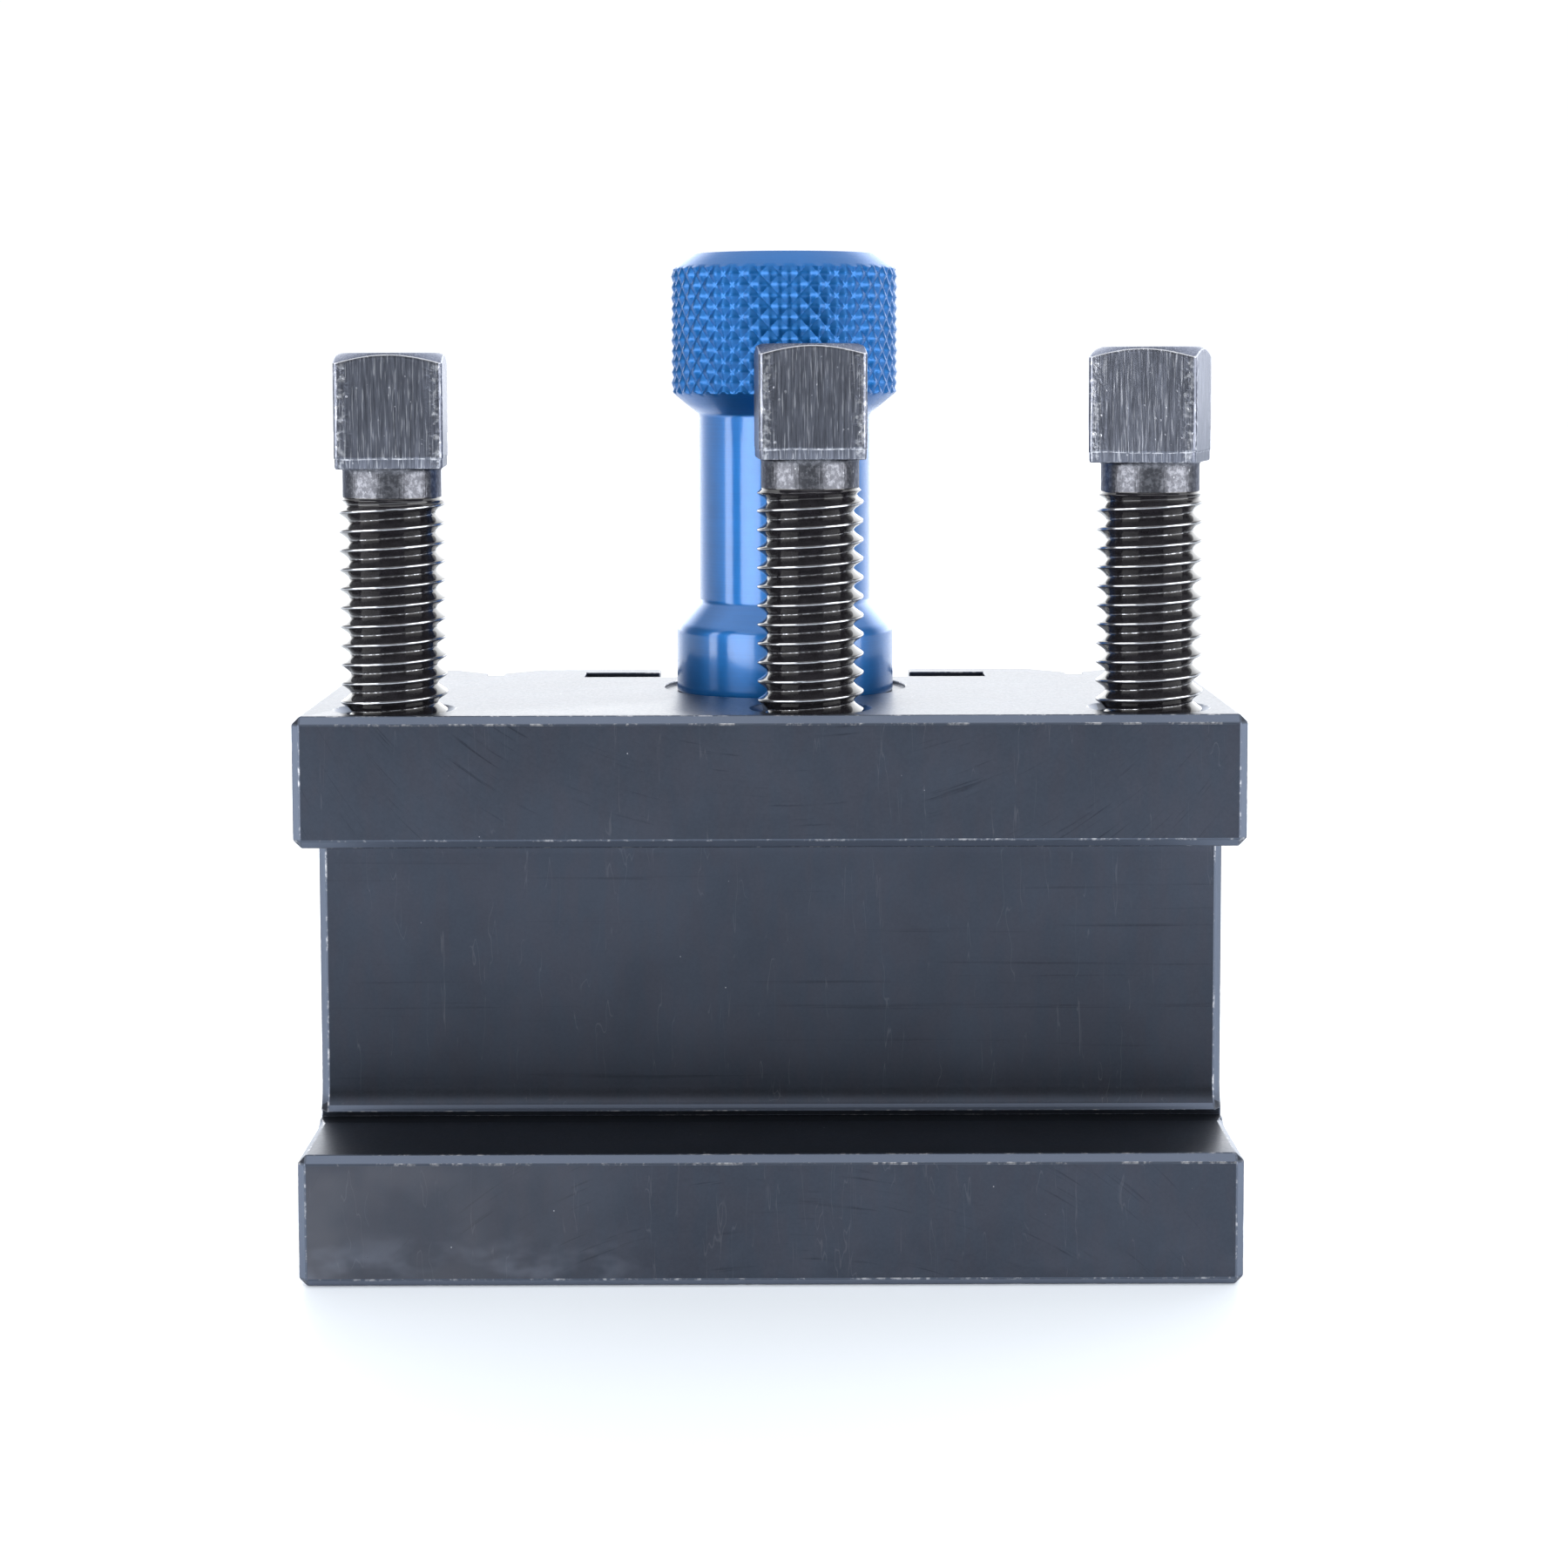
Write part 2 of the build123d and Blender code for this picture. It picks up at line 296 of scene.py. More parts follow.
def rounded_profile(corners, steps=5):
    """A profile of (radius, height) points from corners of (radius, height, rounding).

    Each rounding is an arc that touches both neighbours, at rounding * tan(turn / 2) from the corner.
    """
    made = []
    count = len(corners)
    for i, (r, z, rounding) in enumerate(corners):
        if rounding == 0:
            made.append((r, z))
            continue
        before = np.array(corners[i - 1][:2]) - (r, z)
        after = np.array(corners[(i + 1) % count][:2]) - (r, z)
        before, after = before / np.linalg.norm(before), after / np.linalg.norm(after)
        turn = pi - np.arccos(np.clip(before @ after, -1, 1))
        tangent = rounding * tan(turn / 2)
        middle = (before + after) / np.linalg.norm(before + after)
        centre = np.array((r, z)) + middle * sqrt(tangent**2 + rounding**2)
        start = np.array((r, z)) + before * tangent - centre
        end = np.array((r, z)) + after * tangent - centre
        a0, a1 = atan2(start[1], start[0]), atan2(end[1], end[0])
        sweep = (a1 - a0 + pi) % (2 * pi) - pi
        for t in np.linspace(0, 1, steps + 1):
            made.append(tuple(centre + rounding * np.array((cos(a0 + sweep * t), sin(a0 + sweep * t)))))
    return np.array(made)


# ---- Node building


def plug(tree, socket, value):
    """Links another node's output to a socket, or sets the socket to a value."""
    if isinstance(value, bpy.types.NodeSocket):
        tree.links.new(value, socket)
    else:
        socket.default_value = value


def feed(tree, node, **inputs):
    """Sets or links a node's inputs, by name, or by place as i0, i1."""
    for key, value in inputs.items():
        by_place = key[0] == "i" and key[1:].isdigit()
        plug(tree, node.inputs[int(key[1:]) if by_place else key.replace("_", " ")], value)


def put(tree, kind, options=None, **inputs):
    """Adds a shader node. options are its settings, and inputs are as for feed."""
    made = tree.nodes.new("ShaderNode" + kind)
    for key, value in (options or {}).items():
        setattr(made, key, value)
    feed(tree, made, **inputs)
    return made


def calc(tree, operation, a, b=0.0, c=0.0, clamp=False):
    """A Math node's output."""
    return put(tree, "Math", {"operation": operation, "use_clamp": clamp}, i0=a, i1=b, i2=c).outputs[0]


def product(tree, first, *others):
    """The product of several values."""
    for other in others:
        first = calc(tree, "MULTIPLY", first, other)
    return first


def total(tree, first, *others):
    """The sum of several values."""
    for other in others:
        first = calc(tree, "ADD", first, other)
    return first


def ramp(tree, value, low, high, out_low=0.0, out_high=1.0, smooth=True):
    """Maps value from low..high to out_low..out_high, clamped."""
    settings = {"interpolation_type": "SMOOTHSTEP" if smooth else "LINEAR"}
    limits = {"From_Min": low, "From_Max": high, "To_Min": out_low, "To_Max": out_high}
    return put(tree, "MapRange", settings, Value=value, **limits).outputs["Result"]


def blend(tree, amount, a, b):
    """Mixes two colours, each a socket or three numbers."""
    a, b = (v if isinstance(v, bpy.types.NodeSocket) else (*v, 1.0) for v in (a, b))
    return put(tree, "Mix", {"data_type": "RGBA"}, i0=amount, i6=a, i7=b).outputs[2]


def scaled(tree, vector, by):
    """A vector or a colour times a number."""
    return put(tree, "VectorMath", {"operation": "SCALE"}, i0=vector, Scale=by).outputs[0]


def split(tree, vector):
    """The three parts of a vector."""
    return put(tree, "SeparateXYZ", Vector=vector).outputs


def millimetres(tree):
    """The place on the piece in millimetres, as a vector."""
    return scaled(tree, put(tree, "TexCoord").outputs["Object"], 1 / MM)


def stretched(tree, vector, scale, turn=(0.0, 0.0, 0.0)):
    """The vector turned and scaled axis by axis."""
    return put(tree, "Mapping", Vector=vector, Rotation=turn, Scale=scale).outputs[0]


def noise(tree, vector, scale=1.0, detail=2.0, rough=0.5):
    """A noise texture's value, about 0.5."""
    return put(tree, "TexNoise", Vector=vector, Scale=scale, Detail=detail, Roughness=rough).outputs[0]


def mark(tree, name):
    """A value that the shape functions left on each point."""
    return put(tree, "Attribute", {"attribute_name": name}).outputs["Fac"]


def bump(tree, height, distance_mm):
    """A Bump node's normal for a height of 0 to 1 that stands distance_mm proud."""
    return put(tree, "Bump", Height=height, Distance=distance_mm * MM, Strength=1.0).outputs[0]


def group(name, **defaults):
    """An empty node group with a vector input, the given float inputs and a mask as its output."""
    tree = bpy.data.node_groups.new(name, "ShaderNodeTree")
    tree.interface.new_socket("Vector", in_out="INPUT", socket_type="NodeSocketVector")
    for label, default in defaults.items():
        socket = tree.interface.new_socket(label, in_out="INPUT", socket_type="NodeSocketFloat")
        socket.default_value = default
    tree.interface.new_socket("Mask", in_out="OUTPUT", socket_type="NodeSocketFloat")
    return tree, tree.nodes.new("NodeGroupInput").outputs, tree.nodes.new("NodeGroupOutput").inputs["Mask"]


def speck_group(name):
    """Dust and bright specks: small dots in a few cells of a cell pattern, each cell with its own odds."""
    tree, given, mask = group(name, Size=0.05, Share=0.1)
    cells = put(tree, "TexVoronoi", Vector=given["Vector"], Scale=1.0).outputs
    odds = put(tree, "SeparateColor", Color=cells["Color"]).outputs
    size = product(tree, given["Size"], total(tree, odds[1], 0.25))
    near = ramp(tree, cells["Distance"], product(tree, size, 0.55), size, 1.0, 0.0)
    picked = calc(tree, "LESS_THAN", odds[0], given["Share"])
    tree.links.new(product(tree, near, picked), mask)
    return tree


def scratch_group(name):
    """Hairline scratches: thin crests of a noise drawn out one way, broken up by a coarser noise."""
    tree, given, mask = group(name, Fineness=6.0, Share=0.1)
    drawn = noise(tree, given["Vector"], given["Fineness"], 2.0)
    line = ramp(tree, calc(tree, "ABSOLUTE", calc(tree, "SUBTRACT", drawn, 0.5)), 0.0, 0.012, 1.0, 0.0)
    low = calc(tree, "SUBTRACT", 0.72, product(tree, given["Share"], 0.5))
    there = ramp(tree, noise(tree, given["Vector"], 1.0, 1.0), low, total(tree, low, 0.06))
    tree.links.new(product(tree, line, there), mask)
    return tree


def rubbed_group(name):
    """Rubbed places: a given nearness to an edge, made ragged by noise and cut at the amount of wear."""
    tree, given, mask = group(name, Edge=0.0, Amount=0.5, Grain=6.0)
    grain = noise(tree, given["Vector"], given["Grain"], 4.0)
    ragged = total(tree, given["Edge"], calc(tree, "MULTIPLY_ADD", grain, 0.9, -0.45))
    low = calc(tree, "SUBTRACT", 1.0, given["Amount"])
    tree.links.new(ramp(tree, ragged, low, total(tree, low, 0.3)), mask)
    return tree


SHARED_GROUPS = {"Specks": speck_group, "Scratches": scratch_group, "Rubbed edges": rubbed_group}


def use(tree, name, **inputs):
    """The mask of a shared node group, which is made when it is first used."""
    made = bpy.data.node_groups.get(name) or SHARED_GROUPS[name](name)
    return put(tree, "Group", {"node_tree": made}, **inputs).outputs["Mask"]


def new_finish(name):
    """An empty material with a Principled shader on its output."""
    finish = bpy.data.materials.new(name)
    finish.use_nodes = True
    tree = finish.node_tree
    tree.nodes.clear()
    shader = tree.nodes.new("ShaderNodeBsdfPrincipled")
    tree.links.new(shader.outputs[0], tree.nodes.new("ShaderNodeOutputMaterial").inputs["Surface"])
    return finish, tree, shader


# ---- Finishes


def block_oxide(finishes):
    """Black oxide on milled steel.

    On the jaws' fronts, cutter marks are arcs of one radius r about an upright line at x0, each a feed step
    above the last, so height plus or minus sqrt(r^2 - (x - x0)^2) numbers them. They run level on the slot's
    wall.
    """
    cutter_radius, cutter_x, behind_jaws, mid_height = 39.3, 1.2, -17.2, 20.0
    finish, tree, shader = new_finish("Black oxide, milled")
    place = millimetres(tree)
    x, y, z = split(tree, place)
    facing_y = split(tree, put(tree, "TexCoord").outputs["Normal"])[1]
    forward = ramp(tree, facing_y, -0.97, -0.8, 1.0, 0.0)
    jaw_front = product(tree, forward, calc(tree, "LESS_THAN", y, behind_jaws))
    slot_wall = product(tree, forward, calc(tree, "GREATER_THAN", y, behind_jaws))

    across = calc(tree, "SUBTRACT", x, cutter_x)
    reach = calc(tree, "SQRT", calc(tree, "SUBTRACT", cutter_radius**2, product(tree, across, across)))
    side = calc(tree, "MULTIPLY_ADD", calc(tree, "GREATER_THAN", z, mid_height), 2.0, -1.0)
    arc = calc(tree, "MULTIPLY_ADD", reach, side, z)
    arc_place = put(tree, "CombineXYZ", X=product(tree, arc, 3.2), Y=product(tree, x, 0.12))
    arc_lines = noise(tree, arc_place.outputs[0], 1.0, 3.0, 0.6)
    arc_where = ramp(tree, noise(tree, place, 0.22, 2.0), 0.42, 0.62)
    arc_dark = product(tree, ramp(tree, arc_lines, 0.30, 0.42, 1.0, 0.0), arc_where, jaw_front)

    wall_lines = noise(tree, stretched(tree, place, (0.03, 1.0, 1.6)), 1.0, 4.0, 0.65)
    wall_dark = product(tree, ramp(tree, wall_lines, 0.30, 0.40, 1.0, 0.0), slot_wall)

    mottle = noise(tree, place, 0.11, 3.0, 0.55)
    fine = noise(tree, place, 5.0, 3.0, 0.6)
    steps = noise(tree, stretched(tree, place, (0.9, 0.9, 0.25)), 1.0, 2.0)
    cloudy, grainy = ramp(tree, mottle, 0.3, 0.7, 0.93, 1.08), ramp(tree, fine, 0.25, 0.75, -0.05, 0.05)
    tone = total(tree, cloudy, grainy, product(tree, arc_dark, -0.30), product(tree, wall_dark, -0.2))
    # Painted shade: the slot's wall is darkened towards its foot, standing in for the shade from the lower jaw
    # and the dark floor of the slot.
    painted_shade_at_wall_foot = product(tree, slot_wall, ramp(tree, z, 12.0, 27.0, 0.36, 0.0, smooth=False))
    tone = product(tree, tone, calc(tree, "SUBTRACT", 1.0, painted_shade_at_wall_foot))
    warmer = [c * k for c, k in zip(finishes.oxide, (1.07, 1.0, 0.98))]
    base = scaled(tree, blend(tree, ramp(tree, steps, 0.35, 0.65), finishes.oxide, warmer), tone)

    # A paler patch on the left of the lower jaw, and a dried smear of oil along its foot.
    pale_left_patch = product(
        tree,
        ramp(tree, x, -32.0, -6.0, 1.0, 0.0),
        ramp(tree, z, 8.0, 12.0, 1.0, 0.0),
        jaw_front,
        ramp(tree, mottle, 0.3, 0.6, 0.3, 0.8),
    )
    smear = product(
        tree,
        ramp(tree, noise(tree, stretched(tree, place, (0.3, 0.3, 0.5)), 1.0, 2.0, 0.5), 0.42, 0.7),
        ramp(tree, z, 5.0, 1.5, 0.0, 1.0),
        jaw_front,
        ramp(tree, x, -14.0, -8.0, 1.0, 0.12),
    )
    base = blend(tree, pale_left_patch, base, (0.12, 0.122, 0.14))
    base = blend(tree, product(tree, smear, 0.30), base, (0.24, 0.26, 0.32))

    dots = use(tree, "Specks", Vector=stretched(tree, place, (0.55, 0.55, 0.55)), Size=0.055, Share=0.34)
    upright = stretched(tree, place, (1.2, 1.2, 0.09))
    slanted = stretched(tree, place, (0.5, 0.5, 0.1), (0.0, 0.45, 0.0))
    hair = use(tree, "Scratches", Vector=upright, Fineness=1.1, Share=0.26)
    slanted_hair = use(tree, "Scratches", Vector=slanted, Fineness=1.6, Share=0.2)
    hair = product(tree, calc(tree, "MAXIMUM", hair, slanted_hair), 0.08)
    marks = calc(tree, "MAXIMUM", dots, hair, clamp=True)
    base = blend(tree, product(tree, marks, 0.55), base, finishes.bare_steel)

    cutter_marks = product(tree, arc_lines, jaw_front, 0.8)
    grain = total(tree, product(tree, fine, 0.5), product(tree, wall_lines, slot_wall), cutter_marks)
    rough = total(tree, ramp(tree, fine, 0.2, 0.8, 0.33, 0.41), product(tree, smear, -0.08))
    feed(tree, shader, Base_Color=base, Metallic=0.92, Roughness=rough, Normal=bump(tree, grain, 0.006))
    return finish


def worn_edge_and_highlight(finishes, name, pale, amount):
    """The block's broken edges: oxide that is pale times as light, rubbed away in places by an amount. On the
    chamfers the paler oxide is a painted highlight.
    """
    finish, tree, shader = new_finish(name)
    place = millimetres(tree)
    long_noise = noise(tree, place, 0.35, 3.0, 0.6)
    mask = use(tree, "Rubbed edges", Vector=place, Edge=long_noise, Amount=amount, Grain=3.0)
    base = blend(tree, mask, [c * pale for c in finishes.oxide], [c * 0.62 for c in finishes.bare_steel])
    feed(tree, shader, Base_Color=base, Metallic=0.85, Roughness=ramp(tree, mask, 0.0, 1.0, 0.38, 0.3))
    return finish


def head_steel(finishes):
    """Drawn, darkened steel of the square heads: upright draw lines, rubbed corners that are partly a painted
    highlight, and small dings.

    The neck mark gives the relieved neck under the head a speckled look in place of the draw lines' colour.
    """
    finish, tree, shader = new_finish("Drawn steel, darkened")
    place = millimetres(tree)
    wear = mark(tree, "wear")
    lines = noise(tree, stretched(tree, place, (5.0, 5.0, 0.28)), 1.0, 3.0, 0.65)
    fine_lines = noise(tree, stretched(tree, place, (9.0, 9.0, 0.45)), 1.0, 2.0, 0.6)
    mottle = noise(tree, place, 0.5, 3.0)
    broad, narrow = ramp(tree, lines, 0.3, 0.7, 0.72, 1.25), ramp(tree, fine_lines, 0.3, 0.7, -0.16, 0.2)
    tone = product(tree, total(tree, broad, narrow), ramp(tree, mottle, 0.3, 0.7, 0.9, 1.08))
    base = scaled(tree, (*finishes.head_steel,), tone)
    light_lines = product(tree, ramp(tree, fine_lines, 0.57, 0.65), 0.42)
    base = blend(tree, light_lines, base, finishes.bare_steel)
    pits = ramp(tree, noise(tree, place, 2.6, 3.0, 0.7), 0.42, 0.66)
    speckled = blend(tree, pits, (0.08, 0.082, 0.094), (0.17, 0.174, 0.195))
    base = blend(tree, mark(tree, "neck"), base, speckled)
    mask = use(tree, "Rubbed edges", Vector=place, Edge=wear, Amount=finishes.edge_wear, Grain=2.6)
    dots = use(tree, "Specks", Vector=stretched(tree, place, (2.6, 2.6, 1.9)), Size=0.24, Share=0.25)
    dots = product(tree, dots, ramp(tree, wear, 0.0, 0.5, 0.45, 1.0))
    bright = calc(tree, "MAXIMUM", mask, product(tree, dots, 0.7), clamp=True)
    base = blend(tree, bright, base, finishes.bare_steel)
    drawn = total(tree, product(tree, lines, 0.8), product(tree, fine_lines, 0.5))
    dings = ramp(tree, noise(tree, place, 2.4, 3.0, 0.6), 0.35, 0.5)
    height = total(tree, drawn, product(tree, dots, -0.8), product(tree, dings, wear, 0.9))
    feed(
        tree,
        shader,
        Base_Color=base,
        Metallic=ramp(tree, bright, 0.0, 1.0, 0.9, 1.0),
        Roughness=0.28,
        Specular_Tint=(0.42, 0.44, 0.5, 1.0),
        Normal=bump(tree, height, 0.02),
    )
    return finish


def thread_steel(finishes):
    """Oiled black threads with a bright line where the crests are rubbed, and a bare bright line in the roots
    that is a painted highlight.
    """
    finish, tree, shader = new_finish("Oiled black thread")
    place = millimetres(tree)
    mask = use(tree, "Rubbed edges", Vector=place, Edge=mark(tree, "wear"), Amount=0.5, Grain=3.5)
    film = noise(tree, place, 1.1, 3.0, 0.6)
    grain = noise(tree, stretched(tree, place, (3.0, 3.0, 9.0)), 1.0, 3.0, 0.6)
    thin_oil = [c * 1.6 for c in finishes.thread_oxide]
    base = blend(tree, ramp(tree, film, 0.35, 0.7), finishes.thread_oxide, thin_oil)
    base = blend(tree, mask, base, [c * 0.7 for c in finishes.bare_steel])
    feed(
        tree,
        shader,
        Base_Color=base,
        Metallic=ramp(tree, mask, 0.0, 1.0, 0.0, 1.0),
        Roughness=total(tree, ramp(tree, film, 0.3, 0.7, 0.05, 0.09), product(tree, mask, 0.14)),
        IOR=1.6,
        Normal=bump(tree, grain, 0.002),
    )
    return finish


def stud_steel(finishes):
    """Plain turned steel of the stud, rubbed bright along the crests."""
    finish, tree, shader = new_finish("Turned steel")
    place = millimetres(tree)
    mask = use(tree, "Rubbed edges", Vector=place, Edge=mark(tree, "wear"), Amount=0.5, Grain=3.0)
    grain = noise(tree, stretched(tree, place, (2.0, 2.0, 9.0)), 1.0, 3.0, 0.6)
    base = blend(tree, mask, (0.17, 0.17, 0.18), finishes.bare_steel)
    rough = ramp(tree, grain, 0.3, 0.7, 0.24, 0.38)
    feed(tree, shader, Base_Color=base, Metallic=1.0, Roughness=rough, Normal=bump(tree, grain, 0.008))
    return finish


def blue_anodise(finishes):
    """Dyed, anodised aluminium over fine turning marks: darker on the knurl as painted shade, with less coat
    there, and paler on its tips.
    """
    finish, tree, shader = new_finish("Blue anodised aluminium")
    place = millimetres(tree)
    knurl = mark(tree, "knurl")
    lathe_marks = noise(tree, stretched(tree, place, (0.15, 0.15, 14.0)), 1.0, 3.0, 0.6)
    cloud = noise(tree, place, 0.35, 3.0)
    fine = noise(tree, place, 8.0, 2.0)
    cloudy, ringed = ramp(tree, cloud, 0.3, 0.7, 0.94, 1.05), ramp(tree, lathe_marks, 0.3, 0.7, -0.04, 0.04)
    # Painted shade: the knurl's colour is 0.84 times as dark, for the shade among its facets.
    tone = product(tree, total(tree, cloudy, ringed), ramp(tree, knurl, 0.0, 1.0, 1.0, 0.84))
    base = scaled(tree, (*finishes.anodise,), tone)
    mask = use(tree, "Rubbed edges", Vector=place, Edge=mark(tree, "wear"), Amount=0.35, Grain=4.0)
    base = blend(tree, product(tree, mask, 0.3), base, (0.45, 0.68, 0.95))
    grain = total(tree, product(tree, lathe_marks, 0.7), product(tree, fine, 0.5))
    feed(
        tree,
        shader,
        Base_Color=base,
        Metallic=0.7,
        Roughness=ramp(tree, fine, 0.3, 0.7, 0.36, 0.42),
        Coat_Weight=ramp(tree, knurl, 0.0, 1.0, 0.8, 0.22),
        Coat_Roughness=0.12,
        Coat_IOR=1.65,
        Normal=bump(tree, grain, 0.004),
    )
    return finish


# ---- Pieces


def make_block(finishes):
    """The block's own solid with every edge rounded a little: outer edges more, inner ones less.

    An edge counts from a turn of 24 degrees. The chamfers, which are narrow faces that slope two ways, get a
    finish of their own, and so do the rounded edges. The chamfers' finish is paler oxide, a painted highlight.
    """
    least_turn = radians(24)
    widest_chamfer = 1.0 * MM
    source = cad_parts["holder_body"]
    piece = source.copy()
    piece.data = source.data.copy()
    piece.name = piece.data.name = "steel_block"
    bpy.context.scene.collection.objects.link(piece)
    shape = bmesh.new()
    shape.from_mesh(piece.data)
    bmesh.ops.remove_doubles(shape, verts=shape.verts, dist=1e-6)
    bmesh.ops.dissolve_limit(
        shape, angle_limit=radians(0.5), verts=shape.verts, edges=shape.edges, use_dissolve_boundaries=False
    )
    weights = shape.edges.layers.float.new("bevel_weight_edge")
    for edge in shape.edges:
        if len(edge.link_faces) == 2 and edge.calc_face_angle(0.0) > least_turn:
            outer = edge.calc_face_angle_signed(0.0) > 0 and edge.calc_length() > 0.3 * MM
            edge[weights] = 1.0 if outer else 0.35
    shape.faces.ensure_lookup_table()
    shape.normal_update()
    chamfers = [
        i
        for i, face in enumerate(shape.faces)
        if sorted(abs(n) for n in face.normal)[1] > 0.6
        and 2 * face.calc_area() / face.calc_perimeter() < widest_chamfer
    ]
    shape.to_mesh(piece.data)
    shape.free()
    rounding = piece.modifiers.new("Rounded edges", "BEVEL")
    rounding.limit_method = "WEIGHT"
    rounding.width = 0.10 * MM
    rounding.segments = 2
    rounding.use_clamp_overlap = False
    rounding.harden_normals = True
    rounding.material = 1
    piece.data.shade_smooth()
    piece.data.set_sharp_from_angle(angle=least_turn)
    piece.data.materials.clear()
    rubbed = worn_edge_and_highlight(finishes, "Black oxide, rubbed edge", 1.5, finishes.edge_wear)
    # Painted highlight: the chamfers' oxide is 2.3 times as light, as if lit, with a little wear.
    lit_chamfer = worn_edge_and_highlight(finishes, "Black oxide, chamfer, painted highlight", 2.3, finishes.edge_wear * 0.3)
    for finish in (block_oxide(finishes), rubbed, lit_chamfer):
        piece.data.materials.append(finish)
    for i in chamfers:
        piece.data.polygons[i].material_index = 2
    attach(piece, "holder")
    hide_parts("holder_body")


def screw_shape(node, turn_deg, crest_mm, sizes, seed):
    """One clamp screw, from its point up, as rings round its axis.

    Round the shank, the radius is the lesser of an outline (point bevel, thread, neck) and the thread's own
    radius less its groove. Rows are as many to a pitch as there are columns, so crest and root run along the
    cells' cut. The head is a rounded square whose top is cut by a cone, which leaves an arch on each flat
    where height = top - (distance from the axis - circle radius) * tan(bevel).
    """
    low, high = (np.array(corner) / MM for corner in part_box(node))
    axis = (low[:2] + high[:2]) / 2
    point_z, top_z = low[2], high[2]
    columns, nick_count = 48, 46
    pitch, depth = sizes.thread_pitch / MM, sizes.thread_depth / MM
    outer, neck = sizes.thread_diameter / MM / 2, sizes.neck_diameter / MM / 2
    point = sizes.point_diameter / MM / 2
    head_z = top_z - sizes.head_height / MM
    thread_top = head_z - sizes.neck_length / MM
    turn = radians(turn_deg)
    angle = turn - pi / 4 + 2 * pi * np.arange(columns) / columns

    # Shank: rows on the thread's own spacing, from the point bevel to just above the neck's foot.
    step = pitch / columns
    reference = crest_mm + pitch * (angle[0] - FRONT) / (2 * pi)
    first = int(np.ceil((point_z + 0.12 - reference) / step))
    last = int(np.floor((thread_top + 0.35 - reference) / step))
    z = reference + step * np.arange(first, last + 1)[:, None]
    phase = (z - crest_mm) / pitch - (angle[None, :] - FRONT) / (2 * pi)
    fade = 1 - smoothstep(z, thread_top - 0.75, thread_top + 0.15)
    groove = thread_groove(phase, pitch, depth, sizes.crest_width / MM)
    turns = np.floor(phase + 0.5) + (angle[None, :] - FRONT) / (2 * pi)
    line_depth, nick_depth = 0.022, 0.07
    at_crest = np.clip(1 - groove / line_depth, 0, 1)
    at_root = np.clip(1 - (depth - groove) / line_depth, 0, 1)
    dents = nicks(turns - turns.min(), seed, nick_count, turns.max() - turns.min()) * at_crest
    radius = outer - groove * fade - nick_depth * dents * fade
    outline = np.minimum(outer, np.minimum(point + (z - point_z), neck + np.maximum(thread_top - z, 0)))
    radius = np.minimum(radius, outline)
    shank = rings(radius, z, angle[None, :], axis)
    # Crests are rubbed bright. The line of bare steel in the roots is a painted highlight.
    thread_lines = np.maximum(at_crest * fade * (radius > outer - 0.2), 0.75 * at_root * (fade == 1))

    # Point below the thread and neck above it, as plain rings.
    under = [(point - 0.55, point_z), (point - 0.12, point_z), (point - 0.02, point_z + 0.03)]
    under = turned(under, angle, axis)
    over = [(neck, head_z - 0.5), (neck, head_z - 0.22), (neck + 0.03, head_z - 0.1), (neck + 0.12, head_z)]
    over = turned(over, angle, axis)
    round_part = np.concatenate([under, shank, over])
    round_wear_and_highlight = np.concatenate([np.zeros((3, columns)), thread_lines, np.full((4, columns), 0.12)])

    # Head: outline points, each with its own height of arch.
    outline, out = square_outline(sizes.head_across / MM / 2, sizes.head_corner / MM, turn)
    polar = np.hypot(outline[:, 0], outline[:, 1])
    around, per_side = len(polar), len(polar) // 4
    circle = sizes.head_circle / MM / 2
    fall = tan(radians(sizes.head_bevel))
    arch = top_z - (polar - circle) * fall
    foot = head_z + sizes.foot_band / MM
    random = np.random.default_rng(seed + 7)
    wobble = np.convolve(np.tile(random.normal(0, 1, around), 3), np.hanning(9) / 4.5, "same")
    wobble = wobble[around : 2 * around]

    def at(inset, height):
        """The outline moved in by inset, at one height or one for each point."""
        return np.column_stack([axis + outline - out * inset, np.broadcast_to(height, polar.shape)])

    # The band at the foot stands in a little; its upper edge wanders.
    ledge = foot + 0.10 * wobble
    head = [at(0.16, head_z), at(0.09, head_z + 0.04), at(0.05, head_z + 0.14)]
    head += [at(0.045, ledge - 0.1), at(0.03, ledge)]
    head_edge = [0.55, 0.6, 0.25, 0.2, 0.7]
    start = ledge + 0.06
    levels = np.concatenate([[0.0], np.linspace(0.02, 0.97, 18), [1.0]])
    upper = arch - 0.07
    for level in levels:
        head.append(at(0.0, start + (upper - start) * level))
        head_edge.append(0.5 if level in (0.0, 1.0) else 0.0)
    # The arch's edge rows are rubbed bright: wear, and a painted highlight where the bevel meets the flats.
    head.append(at(0.01, arch - 0.025))
    head.append(at(0.04, arch + 0.006))
    head_edge += [0.95, 0.95]
    direction = outline / polar[:, None]
    for share in (0.12, 0.5, 0.9):
        cone = polar + (circle - polar) * share - 0.05 * (1 - share)
        cone_z = top_z - (cone - circle) * fall
        head.append(np.column_stack([axis + direction * cone[:, None], cone_z]))
        head_edge.append(0.15)
    rim = [(circle - 0.05, 0.01, 0.6), (circle - 0.25, 0.0, 0.3)]
    for r, down, edge in (*rim, (circle * 0.6, 0.0, 0.15), (0.5, 0.0, 0.1)):
        head.append(np.column_stack([axis + direction * r, np.full(around, top_z - down)]))
        head_edge.append(edge)
    head = np.array(head)

